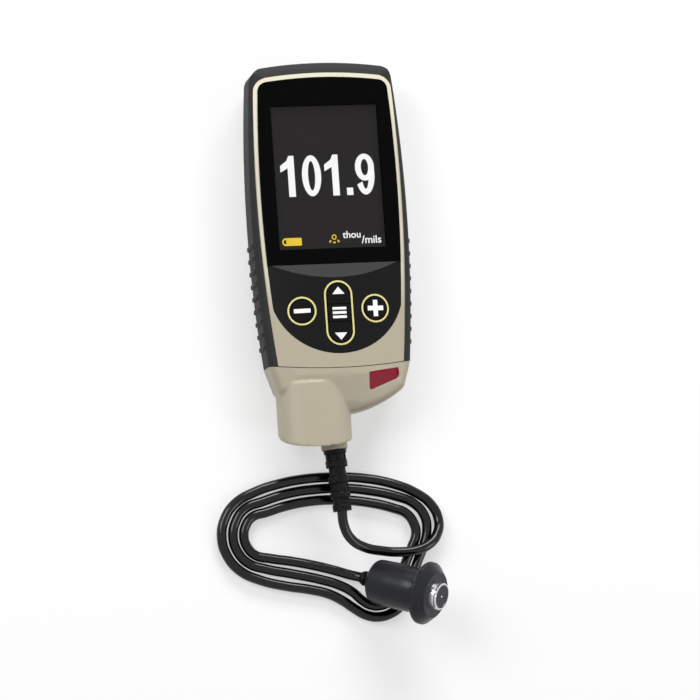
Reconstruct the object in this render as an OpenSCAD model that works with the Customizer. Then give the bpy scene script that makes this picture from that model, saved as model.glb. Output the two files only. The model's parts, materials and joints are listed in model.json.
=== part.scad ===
// Handheld coating thickness gauge lying on its back, with a plug-on cabled probe.
// Millimetres. X to the right, Y towards the top end, Z out of the screen. Z = 0 is the back face.

/* [Gauge body] */
// Width over the rubber at its widest
body_w = 65.2; // [62:0.2:72]
// Length from the top end to the connector's parting line
body_l = 127; // [124:0.5:136]
// Thickness over the crowned keypad
body_t = 25.4; // [25:0.1:28]
// Wall of both shells
wall = 2; // [1.6:0.1:2.4]
// Radius of the crowned front
crown_r = 110; // [95:1:130]
// Radius of the bowed sides
side_r = 600; // [450:10:900]
// Radius of the bowed top end
top_r = 180; // [120:5:260]
// Radius of the top corners
corner_r = 8; // [7:0.5:10]
// Radius of the bowed lower end
end_r = 190; // [150:5:260]
// Height of the joint between the shells
split_z = 12; // [10:0.5:12.5]
// Width of the pale trim round the window
rim_w = 1.7; // [1.3:0.1:2]

/* [Rubber bumper] */
// Thickness of the rubber beside the window
rubber_side = 2.3; // [1.8:0.1:2.8]
// Thickness of the rubber over the top end
rubber_top = 5; // [4:0.1:5.6]
// Number of grip ribs on each side
rib_n = 9; // [5:1:9]
// Spacing of the grip ribs
rib_pitch = 5.2; // [4:0.1:5.2]
// Width of a grip rib
rib_w = 1.4; // [1:0.1:2]
// Height of a grip rib over the rubber
rib_h = 0.7; // [0.4:0.1:0.9]

/* [Display] */
// Width of the lit area
lcd_w = 44.4; // [40:0.2:45]
// Height of the lit area
lcd_h = 59.4; // [54:0.2:60]
// Middle of the lit area, from the middle of the body
lcd_y = 15.4; // [14:0.1:16]
// Thickness of the window
lens_t = 1.5; // [1.2:0.1:1.6]
// Depth of the window below the crown
lens_drop = 3.1; // [2.8:0.1:3.3]
// Lower edge of the window
lens_y = -20.7; // [-21.5:0.1:-19.5]
// Run of the slope from the window up to the keypad
ramp_run = 6; // [5:0.1:6.4]

/* [Keypad] */
// Thickness of the keypad panel
fascia_t = 1.8; // [1.5:0.1:1.9]
// Radius of the panel's round lower end
fascia_r = 28; // [26:0.1:28.4]
// Radius of a key
key_r = 4.6; // [4.2:0.1:4.6]
// Gap round a key
key_gap = 0.3; // [0.2:0.05:0.35]
// Spacing of the two side keys from the middle
side_key_x = 15.2; // [14.4:0.1:15.6]
// Position of the side keys
side_key_y = -39.9; // [-41:0.1:-38]
// Position of the middle key
nav_y = -41.3; // [-42:0.1:-41]
// Distance from the middle key to the round ends of the key group
nav_half = 7.4; // [7:0.1:7.6]
// Height of the keys over the panel
key_rise = 0.35; // [0.2:0.05:0.5]
// Travel of a key
key_travel = 0.55; // [0.4:0.05:0.6]
// Width of the pale key outlines
ring_w = 0.7; // [0.6:0.1:1]

/* [Batteries] */
// Diameter of a cell
cell_d = 10.5; // [10:0.1:10.5]
// Length of a cell
cell_l = 44.5; // [42:0.1:45]
// Spacing of the cells
cell_pitch = 10.9; // [10.8:0.1:11]
// Thickness of the battery door
door_t = 1.7; // [1.5:0.1:1.8]

/* [Probe connector] */
// Length of the connector below the parting line
cap_l = 18; // [17:0.1:19.5]
// Gap at the parting line
cap_gap = 0.3; // [0.2:0.05:0.5]
// Height of the connector's underside
cap_z = 3; // [2.8:0.1:3.4]
// Width of the snout
snout_w = 30; // [27:0.2:30.5]
// Depth of the snout
snout_t = 21.8; // [20:0.1:22]
// Length of the snout below the connector
snout_l = 14; // [11:0.1:16]
// Sideways position of the snout
snout_x = -11.2; // [-12.5:0.1:-9.5]
// Slant of the snout's end, degrees
snout_slant = 24; // [18:1:28]
// Width of the rail's head
rail_w = 16; // [13:0.1:18]

/* [Probe and cord] */
// Diameter of the cord
cord_d = 4.1; // [3.8:0.1:4.2]
// Length of the strain relief at the gauge
boot_l = 25; // [24:0.1:25.4]
// Diameter of the widest strain relief ring
boot_d = 9.4; // [8.6:0.1:9.8]
// Diameter of the probe body
probe_d = 18.4; // [17:0.1:18.6]
// Length of the probe body
probe_l = 22; // [20.5:0.1:23]
// Diameter of the probe's flange
flange_d = 25.6; // [23:0.1:27]
// Diameter of the silver tip ring
tip_d = 11.6; // [10.6:0.1:12.6]
// Stand of the tip ring over the flange's face
tip_h = 3; // [2:0.1:4]

/* [Hidden] */
$fn = 64;
big = 400;
// Clearance between fixed pieces
fit = 0.05;

// Heights of the stack inside the body
lens_z = body_t - lens_drop;
ledge_z = lens_z - lens_t;
deck_t = 1.2;
deck_z = ledge_z - deck_t;
lip_h = 0.6;
lcd_t = 2;
frame_t = 0.9;
frame_side = 2.4;
frame_low = 3.4;
frame_high = 2;
frame_wall = 1;
frame_play = 0.1;
board_t = 1.6;
board_top = deck_z - frame_play - lcd_t - frame_t;
board_z = board_top - board_t;
key_deck_z = board_top + 2;
switch_h = 1.2;
// Chips under the board: corner, width, length and height
chips = [[-15, 18, 14, 14, 1.2], [6, 12, 9, 12, 1], [-20, 2, 6, 8, 0.8]];
sounder_at = [10, 38];
sounder_d = 11;
sounder_h = 3.2;

// Plan outlines, each bowed on both sides and at its end
y_top = body_l / 2;
y_end = -body_l / 2;
core_w = body_w / 2 - rubber_side;
core_y = 10;
core_top = y_top - rubber_top;
core_corner = 5.6;
edge_r = 4;
edge_flat = 8;
edge_turn = 75;
corner_play = 0.12;
edge_z = body_t - crown_r + sqrt(pow(crown_r, 2) - pow(body_w / 2 - 6.6, 2));
back_r = 4;
back_z = back_r + 0.3;
back_in = 1.4;
side_play = 0.4;
rib_top = -11.7;

// Keypad
hole_r = key_r + key_gap;
ring_in = hole_r + 0.25;
key_flange = 0.9;
key_flange_t = 0.9;
pocket_gap = 0.3;
stem_r = 1.8;
nav_split = 3.6;
nav_gap = 0.3;
fascia_y = -57.9 + fascia_r;

// Battery bay
bay_w = 2 * cell_pitch + cell_d + 0.6;
bay_wall = 1.2;
bay_top = 0.8;
bay_l = cell_l + 6;
bay_y = y_end + wall + 4;
bay_roof = cap_z - 0.3 + cell_d + 0.7;
cell_z = cap_z - 0.3 + cell_d / 2;
cell_room = 5;
contact_t = 0.4;
spring_r = 0.58;
spring_n = 4;
spring_pitch = (cell_room - contact_t - 2 * spring_r - 2 * fit) / (spring_n - 1);
door_w = bay_w + 0.6;
door_gap = 0.3;
door_z = 0.4;
door_lip = 1.2;
door_l = bay_l + 8;
door_y = y_end + 1.4;

// Screws
boss_r = 2.3;
boss_play = 0.4;
screw_in = 8.2;
screw_xt = core_w - 8.3;
screw_yt = core_top - screw_in;
screw_xb = core_w - 7.3;
screw_yb = y_end + 17.5;
screw_r = 1;
head_r = 1.9;
head_h = 1.2;
head_sink = 1;
screw_tip = deck_z - 0.6;

// Connector
rail_y = 5;
rail_neck = 2.4;
rail_z0 = 5.5;
rail_z1 = 17.5;
rail_gap = 0.3;
cap_bottom_r = 41;
cap_corner = 8;
cap_side_r = 300;
cap_side_y = y_end + 85.2;
cap_side_w = body_w / 2 + 8.6;
nose_r = 33;
snout_z = cap_z + 0.3 + snout_t / 2;
snout_end = y_end - cap_l - snout_l;
snout_root = 5;
exit_x = -4.1;
boot_lean = 3.5;
collar_out = 0.6;
boot_wall = 1.4;
boot_collar_r = 5.4;
boot_collar_l = 9.5;
badge_x1 = body_w / 2 - 9.2;
badge_x0 = badge_x1 - 12.4;
badge_low0 = 9.6;
badge_low1 = 4.8;
contact_n = 6;
contact_pitch = 2;

// Probe
probe_at = [10.7, -149.6, 7.9];
probe_tip_up = 40;
probe_turn = -22;
probe_boot_l = 6;
probe_bore = probe_d - 3.6;
collar_t = 7;

// Route of the cord on the table
route = [[-2.2, -119, 14.2], [-1.6, -127, 13.4], [1.4, -132.3, 11.4], [7, -135.8, 9.4],
    [14.5, -137.6, 8], [22, -138.4, 7.2], [29, -138, 6.8], [35, -135.8, 6.3], [39, -131.5, 4.6],
    [40.4, -125.5, 2.5], [37.8, -119.2, 2.1], [31.5, -114, 2.1], [22.5, -110, 2.1], [11, -107.2, 2.1],
    [-2, -106, 2.1], [-15, -106.2, 2.1], [-26, -107.8, 2.1], [-35, -110.3, 2.1], [-43.5, -114.5, 2.1],
    [-48.5, -120.8, 2.1], [-50.2, -128.3, 2.1], [-48.5, -135.8, 2.1], [-43.5, -142.2, 2.1],
    [-35.5, -146.4, 2.1], [-25, -149.4, 2.1], [-15, -151.4, 2.1], [-7.5, -153.6, 2.1],
    [-2, -156.6, 2.1], [2.7, -160.1, 2.1], [7.3, -163, 2.1], [12.5, -164.1, 2.1], [17.7, -163, 2.1],
    [22.3, -160, 2.1], [25.3, -155.5, 2.1], [27.8, -149, 2.1], [30.5, -142.3, 2.1], [33.5, -136, 2.1],
    [35.3, -130, 2.1], [34.8, -124, 2.1], [30.8, -118.6, 2.1], [23, -115, 2.1], [13, -112.4, 2.1],
    [2, -110.8, 2.1], [-10, -110.6, 2.1], [-22, -111.8, 2.1], [-32.5, -114.5, 2.1], [-39.8, -117, 2.1],
    [-44, -122, 2.1], [-45.6, -128.3, 2.1], [-44, -134.6, 2.1], [-39.8, -139.4, 2.1], [-33, -142, 2.1],
    [-22, -144.6, 2.1], [-10, -147.7, 2.1], [-3, -150.2, 2.1], [2.2, -153.2, 2.1], [6, -156.8, 2.1],
    [9.2, -158.9, 2.1], [13.3, -159.5, 2.1], [17.6, -158, 2.1], [21, -153.8, 2.1], [23.2, -147.8, 2.1],
    [25.8, -141.8, 2.1], [28.5, -136.3, 2.1], [30.6, -131.2, 2.1], [30, -126.6, 2.1],
    [27.2, -122.4, 2.1], [22, -120, 2.1], [11, -117, 2.1], [-1, -115.4, 2.1], [-13, -115.4, 2.1],
    [-23, -116.8, 2.1], [-31, -118.9, 2.1], [-37, -120.5, 2.1], [-40, -123.9, 2.1],
    [-41.1, -128.3, 2.1], [-40, -132.7, 2.1], [-37, -136.1, 2.1], [-31, -137.8, 2.1],
    [-22, -139.5, 2.1], [-12, -141.9, 2.1], [-4, -144.3, 2.1], [1.2, -146.1, 2.2], [6.1, -147.7, 4],
    [7.6, -148.3, 5.3]];
cord_sides = 10;

function meet(c0, r0, c1, r1) =
    let (d = c1 - c0, l = norm(d), a = (r0 * r0 - r1 * r1 + l * l) / (2 * l), h = sqrt(r0 * r0 - a * a))
    c0 + a * d / l + h * [-d.y, d.x] / l;
function arc(c, r, a0, a1, n) = [for (i = [0:n]) c + r * [cos(a0 + (a1 - a0) * i / n), sin(a0 + (a1 - a0) * i / n)]];
// Side centre, corner centre, end centre, and the angles where the arcs meet
function bow(w, wy, rs, top, rt, rc) =
    let (s = [w - rs, wy], t = [0, top - rt], c = meet(s, rs - rc, t, rt - rc))
    [s, c, t, atan2(c.y - s.y, c.x - s.x), atan2(c.y - t.y, c.x - t.x), rs, rc, rt];
function bow_pts(b, low, inset) =
    let (r = b[5] - inset, half = concat(arc(b[0], r, asin((low - b[0].y) / r), b[3], 16),
        arc(b[1], b[6] - inset, b[3], b[4], 8), arc(b[2], b[7] - inset, b[4], 90, 8)))
    concat(half, [for (i = [len(half) - 2:-1:0]) [-half[i].x, half[i].y]]);
function crown_z(r, x) = body_t - crown_r + sqrt(r * r - x * x);

body_bow = bow(body_w / 2, 0, side_r, y_top, top_r, corner_r);
core_bow = bow(core_w, core_y, side_r, core_top, top_r, core_corner);
cap_bow = bow(cap_side_w, -cap_side_y, cap_side_r, cap_l - y_end, cap_bottom_r, cap_corner);
low = y_end - 4;

module arc_sweep(c, r, a0, a1) {
    translate([c.x, c.y, 0])
        rotate(a0)
            rotate_extrude(angle = a1 - a0, $fn = 256)
                intersection() {
                    translate([r, 0])
                        children();
                    translate([0, -big / 2])
                        square([2 * big + side_r, big]);
                }
}

// Disc with a rounded front edge and a drawn-in back edge
module edge_disc(c, r, back) {
    translate([c.x, c.y, 0])
        rotate_extrude($fn = 256)
            polygon(concat([[0, back], [r - back_in - 1.2, back], [r - back_in, back + 1], [r, edge_flat]],
                arc([r - edge_r, edge_z - edge_r], edge_r, 0, edge_turn, 8),
                [[0, edge_z - edge_r + edge_r * sin(edge_turn) + (r - edge_r + edge_r * cos(edge_turn)) / tan(edge_turn)]]));
}

// Solid inside a bowed outline, with the edges of the discs and rounded corners
module bow_form(b, low_y, back) {
    intersection() {
        translate([0, 0, back])
            linear_extrude(body_t)
                polygon(bow_pts(b, low_y, -corner_play));
        edge_disc(b[0], b[5], back);
        mirror([1, 0, 0])
            edge_disc(b[0], b[5], back);
        edge_disc(b[2], b[7], back);
    }
}

module rib_profile() {
    polygon([[-1, edge_flat - 3], [rib_h / 2, edge_flat - 1], [rib_h, edge_flat + 0.5], [rib_h, edge_z - edge_r - 1],
        [rib_h / 2, edge_z - edge_r + 0.6], [-1, edge_z - edge_r + 2]]);
}

// Body side of the bowed lower end
module above_end(gap) {
    translate([0, y_end + end_r, -big / 2])
        cylinder(r = end_r + gap, h = big, $fn = 256);
}

module core(z0, z1, inset) {
    translate([0, 0, z0])
        linear_extrude(z1 - z0)
            polygon(bow_pts(core_bow, low, inset));
}

module crown(r) {
    translate([0, -big / 2, body_t - crown_r])
        rotate([-90, 0, 0])
            cylinder(r = r, h = big, $fn = 256);
}

// Space under the slope that rises from the window to the keypad
module under_ramp(drop) {
    translate([0, lens_y, lens_z - drop])
        rotate([-atan2(lens_drop, ramp_run), 0, 0])
            translate([-big / 2, -big / 2, -big])
                cube([big, big, big]);
}

module window_shape(inset) {
    intersection() {
        polygon(bow_pts(core_bow, low, rim_w + inset));
        translate([-big / 2, lens_y])
            square([big, big]);
    }
}

module fascia_shape(inset) {
    intersection() {
        polygon(bow_pts(core_bow, low, rim_w + inset));
        translate([-big / 2, lens_y - big])
            square([big, big]);
        union() {
            translate([0, fascia_y])
                circle(r = fascia_r - inset, $fn = 128);
            translate([-big / 2, fascia_y])
                square([big, big]);
        }
    }
}

module column(z0, z1) {
    translate([0, 0, z0])
        linear_extrude(z1 - z0)
            children();
}

module stadium(r) {
    for (s = [-1, 1])
        translate([0, s * nav_half])
            circle(r = r);
    translate([-r, -nav_half])
        square([2 * r, 2 * nav_half]);
}

module side_keys() {
    for (s = [-1, 1])
        translate([s * side_key_x, side_key_y])
            children();
}

module key_holes(r) {
    side_keys()
        circle(r = r);
    translate([0, nav_y])
        stadium(r);
}

module deck_form() {
    intersection() {
        crown(crown_r - fascia_t);
        under_ramp(lens_t);
    }
}

side_flange_z = crown_z(crown_r - fascia_t, side_key_x + key_r + key_flange) - 0.1;
nav_flange_z = crown_z(crown_r - fascia_t, key_r + key_flange) - 0.1;

module stem_spots() {
    side_keys()
        children();
    for (d = [-1, 0, 1])
        translate([0, nav_y + d * nav_half])
            children();
}

module screw_spots() {
    for (s = [-1, 1]) {
        translate([s * screw_xt, screw_yt, 0])
            children();
        translate([s * screw_xb, screw_yb, 0])
            children();
    }
}

module front_housing() {
    color([0.68, 0.65, 0.57])
        difference() {
            front_form();
            screw_spots()
                cylinder(r = screw_r, h = screw_tip);
        }
}

module front_form() {
    intersection() {
        above_end(0);
        union() {
            difference() {
                intersection() {
                    core(split_z, body_t, 0);
                    crown(crown_r);
                    union() {
                        translate([-big / 2, lens_y, 0])
                            cube([big, big, lens_z + lip_h]);
                        translate([-big / 2, lens_y - big, 0])
                            cube([big, big, big]);
                    }
                }
                column(ledge_z, big)
                    window_shape(0);
                difference() {
                    column(split_z, big)
                        fascia_shape(0);
                    deck_form();
                }
                intersection() {
                    core(0, deck_z, wall);
                    translate([-big / 2, y_end + wall, 0])
                        cube([big, big, big]);
                    union() {
                        translate([-big / 2, lens_y - 1, 0])
                            cube([big, big, big]);
                        translate([-big / 2, -big, 0])
                            cube([big, 2 * big, key_deck_z]);
                    }
                }
                translate([-lcd_w / 2 - 0.6, lcd_y - lcd_h / 2 - 0.6, 0])
                    cube([lcd_w + 1.2, lcd_h + 1.2, big]);
                column(side_flange_z - key_flange_t - key_travel - pocket_gap, big)
                    side_keys()
                        circle(r = key_r + key_flange + pocket_gap);
                column(nav_flange_z - key_flange_t - key_travel - pocket_gap, big)
                    translate([0, nav_y])
                        stadium(key_r + key_flange + pocket_gap);
                column(0, big)
                    stem_spots()
                        circle(r = stem_r + pocket_gap);
            }
            intersection() {
                screw_spots()
                    translate([0, 0, board_top])
                        cylinder(r = boss_r, h = deck_z - board_top + fit);
                core(0, big, wall / 2);
            }
        }
    }
}

// Disc with a rounded back edge, wide enough to leave the side walls alone
module back_disc(c, r) {
    translate([c.x, c.y, 0])
        rotate_extrude($fn = 256)
            polygon(concat([[0, 0]], arc([r + side_play - back_r, back_r], back_r, -90, 0, 10),
                [[r + side_play, split_z], [0, split_z]]));
}

module rear_form() {
    intersection() {
        above_end(0);
        core(0, split_z, 0);
        back_disc(core_bow[0], side_r);
        mirror([1, 0, 0])
            back_disc(core_bow[0], side_r);
        back_disc(core_bow[2], top_r);
    }
}

module rear_housing() {
    color([0.68, 0.65, 0.57])
        difference() {
            union() {
                difference() {
                    rear_form();
                    intersection() {
                        core(wall, split_z + 1, wall);
                        translate([-big / 2, y_end + wall, 0])
                            cube([big, big, big]);
                        union() {
                            core(wall, split_z + 1, back_r);
                            core(back_r, split_z + 1, wall);
                        }
                    }
                }
                translate([-bay_w / 2 - bay_wall, bay_y - bay_wall, wall - fit])
                    cube([bay_w + 2 * bay_wall, bay_l + 2 * bay_wall, bay_roof + bay_top - wall + fit]);
                intersection() {
                    screw_spots()
                        cylinder(r = boss_r, h = board_z);
                    union() {
                        core(wall / 2, split_z, wall / 2);
                        core(split_z, board_z, wall + 0.3);
                    }
                }
            }
            translate([-bay_w / 2, bay_y, -1])
                cube([bay_w, bay_l, bay_roof + 1]);
            translate([-door_w / 2 - door_gap, y_end - wall, -1])
                cube([door_w + 2 * door_gap, door_y - y_end + wall + door_l + door_gap, 1 + door_z + door_t + door_gap]);
            translate([-door_w / 2 - door_lip - door_gap, y_end - wall, door_z + door_t / 2 - door_gap])
                cube([door_w + 2 * door_lip + 2 * door_gap, door_y - y_end + wall + door_l - 3,
                    door_t / 2 + 2 * door_gap]);
            screw_spots() {
                translate([0, 0, -1])
                    cylinder(r = screw_r + 0.2, h = big);
                translate([0, 0, -1])
                    cylinder(r = head_r + 0.3, h = 1 + head_sink + head_h);
            }
            difference() {
                core(split_z - 0.6, split_z + 1, 0.6);
                core(0, big, 1.4);
                translate([-big / 2, y_end - big + 8, 0])
                    cube([big, big, big]);
            }
        }
}

module housing_gasket() {
    color([0.1, 0.1, 0.1])
        difference() {
            core(split_z - 0.6, split_z, 0.6);
            core(0, big, 1.4);
            translate([-big / 2, y_end - big + 8, 0])
                cube([big, big, big]);
        }
}

module housing_screws() {
    color([0.6, 0.6, 0.62])
        screw_spots() {
            difference() {
                translate([0, 0, head_sink])
                    cylinder(r = head_r, h = head_h);
                cylinder(r = head_r / 2, h = head_sink + head_h / 2, $fn = 6);
            }
            translate([0, 0, head_sink + head_h - fit])
                cylinder(r = screw_r, h = screw_tip - head_sink - head_h);
        }
}

module rubber_bumper() {
    color([0.2, 0.2, 0.2])
        intersection() {
            above_end(0);
            difference() {
                union() {
                    bow_form(body_bow, low, back_z);
                    for (m = [0, 1])
                        mirror([m, 0, 0])
                            for (i = [0:rib_n - 1])
                                arc_sweep(body_bow[0], side_r,
                                    asin((rib_top - i * rib_pitch - rib_w / 2) / side_r),
                                    asin((rib_top - i * rib_pitch + rib_w / 2) / side_r))
                                    rib_profile();
                }
                core(0, big, 0);
            }
        }
}

module display_lens() {
    color([0.05, 0.05, 0.06])
        column(ledge_z, lens_z)
            window_shape(fit);
}

// Plan of the display's carrier, drawn in from its edge
module frame_plan(inset) {
    translate([-lcd_w / 2 - frame_side + inset, lcd_y - lcd_h / 2 - frame_low + inset])
        square([lcd_w + 2 * (frame_side - inset), lcd_h + frame_low + frame_high - 2 * inset]);
}

module lcd_frame() {
    color([0.8, 0.8, 0.8])
        difference() {
            column(board_top, board_top + frame_t + lcd_t * 0.6)
                frame_plan(0);
            column(board_top + frame_t, big)
                frame_plan(frame_wall);
            boss_space();
        }
}

module lcd_panel() {
    color([0.2, 0.2, 0.2])
        difference() {
            column(board_top + frame_t, board_top + frame_t + lcd_t)
                frame_plan(frame_wall + frame_play);
            boss_space();
        }
}

// Room that the display leaves round the screw bosses
module boss_space() {
    screw_spots()
        cylinder(r = boss_r + boss_play, h = big);
}

module keypad_fascia() {
    color([0.12, 0.12, 0.12])
        difference() {
            intersection() {
                column(ledge_z, big)
                    fascia_shape(fit);
                crown(crown_r);
                under_ramp(0);
            }
            deck_form();
            column(0, big)
                key_holes(hole_r);
            ring_form();
        }
}

module ring_form() {
    difference() {
        column(ledge_z, big)
            difference() {
                key_holes(ring_in + ring_w);
                key_holes(ring_in);
            }
        crown(crown_r - 0.4);
    }
}

module key_outlines() {
    color([0.92, 0.89, 0.6])
        intersection() {
            ring_form();
            crown(crown_r);
        }
}

module key_body(flange_z) {
    intersection() {
        column(flange_z - fit, big)
            children(0);
        crown(crown_r + key_rise);
    }
    column(flange_z - key_flange_t, flange_z)
        children(1);
    column(board_top + switch_h + key_travel + 0.2, flange_z - key_flange_t + fit)
        children(2);
}

module side_key(s) {
    translate([s * side_key_x, side_key_y])
        children();
}

module round_key(s) {
    color([0.12, 0.12, 0.12])
        key_body(side_flange_z) {
            side_key(s)
                circle(r = key_r);
            side_key(s)
                circle(r = key_r + key_flange);
            side_key(s)
                circle(r = stem_r);
        }
}

module nav_band(d) {
    intersection() {
        children();
        translate([-big / 2, d == 0 ? nav_y - nav_split + nav_gap / 2 : d > 0 ? nav_y + nav_split + nav_gap / 2 : -big])
            square([big, d == 0 ? 2 * nav_split - nav_gap : d > 0 ? big : big + nav_y - nav_split - nav_gap / 2]);
    }
}

module nav_key(d) {
    color([0.12, 0.12, 0.12])
        key_body(nav_flange_z) {
            nav_band(d)
                translate([0, nav_y])
                    stadium(key_r);
            nav_band(d)
                translate([0, nav_y])
                    stadium(key_r + key_flange);
            translate([0, nav_y + d * nav_half])
                circle(r = stem_r);
        }
}

module minus_key() {
    round_key(-1);
}

module plus_key() {
    round_key(1);
}

module up_key() {
    nav_key(1);
}

module menu_key() {
    nav_key(0);
}

module down_key() {
    nav_key(-1);
}

module key_switches() {
    color([0.75, 0.75, 0.7])
        stem_spots() {
            translate([-2.6, -2.6, board_top])
                cube([5.2, 5.2, switch_h * 0.6]);
            translate([0, 0, board_top])
                cylinder(r = 1.5, h = switch_h);
        }
}

module main_board() {
    color([0.1, 0.35, 0.2])
        difference() {
            intersection() {
                core(board_z, board_top, wall + 0.6);
                translate([-big / 2, y_end + wall + 1.6, 0])
                    cube([big, big, big]);
            }
            screw_spots()
                cylinder(r = screw_r + 0.2, h = big);
        }
}

module board_chips() {
    color([0.1, 0.1, 0.1])
        for (c = chips)
            translate([c[0], c[1], board_z - c[4]])
                cube([c[2], c[3], c[4]]);
}

module sounder() {
    color([0.15, 0.15, 0.15])
        translate([sounder_at.x, sounder_at.y, board_z - sounder_h])
            difference() {
                cylinder(d = sounder_d, h = sounder_h);
                translate([0, 0, -1])
                    cylinder(d = 2, h = 2);
            }
}

module cells() {
    for (i = [-1, 0, 1])
        translate([i * cell_pitch, bay_y + cell_room, cell_z])
            rotate([-90, 0, 0])
                children();
}

module battery_cells() {
    color([0.3, 0.3, 0.32])
        cells() {
            cylinder(d = cell_d, h = cell_l - 1);
            cylinder(d = 3.8, h = cell_l);
        }
}

module battery_contacts() {
    color([0.75, 0.72, 0.6])
        for (y = [bay_y, bay_y + bay_l - contact_t])
            translate([-bay_w / 2 + 0.3, y, wall + 2])
                cube([bay_w - 0.6, contact_t, cell_d - 2]);
}

module battery_springs() {
    color([0.75, 0.75, 0.75])
        cells()
            for (k = [0:spring_n - 1])
                translate([0, 0, contact_t + fit + spring_r - cell_room + k * spring_pitch])
                    rotate_extrude()
                        translate([cell_d / 3 - k * 0.5, 0])
                            circle(r = spring_r, $fn = 16);
}

module battery_door() {
    color([0.66, 0.63, 0.55])
        difference() {
            union() {
                translate([-door_w / 2, door_y, door_z])
                    cube([door_w, door_l, door_t]);
                for (s = [-1, 1], y = [door_y + 6, door_y + door_l - 14])
                    translate([s > 0 ? door_w / 2 - 0.5 : -door_w / 2 - door_lip + 0.3, y, door_z + door_t / 2])
                        cube([door_lip + 0.2, 6, door_t / 2]);
            }
            for (i = [0:5])
                translate([-8, door_y + door_l - 12 + i * 1.6, door_z - 0.1])
                    cube([16, 0.8, 0.5]);
        }
}

module rail_section(gap) {
    translate([-rail_w / 2 - gap, y_end - rail_y - gap])
        square([rail_w + 2 * gap, rail_y - rail_neck + 2 * gap]);
    translate([-rail_w / 2 + 2.5 - gap, y_end - rail_y])
        square([rail_w - 5 + 2 * gap, rail_y + 1]);
}

module probe_rail() {
    color([0.12, 0.12, 0.12])
        difference() {
            column(rail_z0, rail_z1)
                intersection() {
                    rail_section(0);
                    translate([-big / 2, y_end - big])
                        square([big, big]);
                }
            above_end(0);
        }
}

module rail_contacts() {
    color([0.85, 0.7, 0.35])
        for (i = [0:contact_n - 1])
            translate([(i - (contact_n - 1) / 2) * contact_pitch - 0.5, y_end - rail_y - 0.1, rail_z0 + 2])
                cube([1, 0.1, rail_z1 - rail_z0 - 4]);
}

module cap_form() {
    difference() {
        intersection() {
            mirror([0, 1, 0])
                bow_form(cap_bow, -y_end - 6, cap_z);
            crown(crown_r);
            translate([-big / 2, y_end, body_t - nose_r])
                rotate([0, 90, 0])
                    cylinder(r = nose_r, h = big, $fn = 128);
        }
        above_end(cap_gap);
    }
}

module snout_shape() {
    polygon([for (i = [0:47])
        let (c = cos(i * 7.5), s = sin(i * 7.5))
            [snout_w / 2 * sign(c) * pow(abs(c), 0.84), snout_t / 2 * sign(s) * pow(abs(s), 0.84)]]);
}

module snout() {
    difference() {
        translate([snout_x, y_end - snout_root, snout_z])
            rotate([90, 0, 0])
                linear_extrude(y_end - snout_root - snout_end)
                    snout_shape();
        translate([0, snout_end, body_t])
            rotate([snout_slant, 0, 0])
                translate([-big / 2, -big, -big])
                    cube([big, big, 2 * big]);
    }
}

module badge_column() {
    column(snout_z, big)
        polygon([[badge_x0, y_end - 2.3], [badge_x1, y_end - 0.7], [badge_x1, y_end - badge_low1], [badge_x0, y_end - badge_low0]]);
}

module connector_cap() {
    color([0.68, 0.65, 0.57])
        difference() {
            union() {
                cap_form();
                snout();
                exit_frame()
                    cylinder(r = boot_collar_r, h = boot_collar_l);
            }
            column(-1, rail_z1 + rail_gap)
                rail_section(rail_gap);
            block_form(0);
            difference() {
                badge_column();
                translate([0, 0, -0.6])
                    cap_form();
            }
        }
}

module cap_badge() {
    color([0.55, 0.08, 0.2])
        difference() {
            intersection() {
                badge_column();
                cap_form();
            }
            translate([0, 0, -0.6])
                cap_form();
        }
}

module block_form(inset) {
    translate([-rail_w / 2 + 1 + inset, y_end - rail_y - 3, rail_z0])
        cube([rail_w - 2 - 2 * inset, 3 - rail_gap, rail_z1 - rail_z0 - inset]);
}

module connector_block() {
    color([0.12, 0.12, 0.12])
        block_form(0);
}

module connector_contacts() {
    color([0.85, 0.7, 0.35])
        for (i = [0:contact_n - 1])
            translate([(i - (contact_n - 1) / 2) * contact_pitch - 0.4, y_end - rail_y - rail_gap, rail_z0 + 3])
                cube([0.8, 0.1, rail_z1 - rail_z0 - 6]);
}

// Axis of the strain relief, from inside the snout
module exit_frame() {
    translate([exit_x, snout_end + boot_collar_l - collar_out, snout_z])
        rotate([90, 0, boot_lean])
            children();
}

module cable_boot() {
    rings = [[0, 1.4], [4.4, 7], [11, 13.4], [17.4, 19.6], [22.4, boot_l]];
    color([0.1, 0.1, 0.1])
        exit_frame() {
            translate([0, 0, boot_collar_l])
                cylinder(r = cord_d / 2 + boot_wall, h = boot_l);
            for (i = [0:4])
                translate([0, 0, boot_collar_l + rings[i][0]])
                    cylinder(r1 = boot_d / 2 - i * 0.2, r2 = boot_d / 2 - i * 0.2 - 0.1, h = rings[i][1] - rings[i][0]);
            for (i = [0:3])
                rotate(i % 2 * 90)
                    translate([-boot_d / 2 + 0.7 + i * 0.2, -1.2, boot_collar_l + rings[i][1] - fit])
                        cube([boot_d - 1.4 - i * 0.4, 2.4, rings[i + 1][0] - rings[i][1] + 2 * fit]);
        }
}

function unit(v) = v / norm(v);
function tangent(i) = unit(route[min(i + 1, len(route) - 1)] - route[max(i - 1, 0)]);
function ring(i) =
    let (t = tangent(i), u = unit(cross(t, [0, 0, 1])), v = cross(u, t))
    [for (k = [0:cord_sides - 1])
        route[i] + cord_d / 2 * (cos(k * 360 / cord_sides) * u + sin(k * 360 / cord_sides) * v)];

module probe_cable() {
    n = len(route);
    s = cord_sides;
    color([0.06, 0.06, 0.06])
        polyhedron(
            points = [for (i = [0:n - 1]) each ring(i)],
            faces = concat([[for (k = [0:s - 1]) k]],
                [for (i = [0:n - 2], k = [0:s - 1])
                    [i * s + k, (i + 1) * s + k, (i + 1) * s + (k + 1) % s, i * s + (k + 1) % s]],
                [[for (k = [s - 1:-1:0]) (n - 1) * s + k]]));
}

module probe_frame() {
    translate(probe_at)
        rotate([0, 90 - probe_tip_up, probe_turn])
            children();
}

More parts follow.
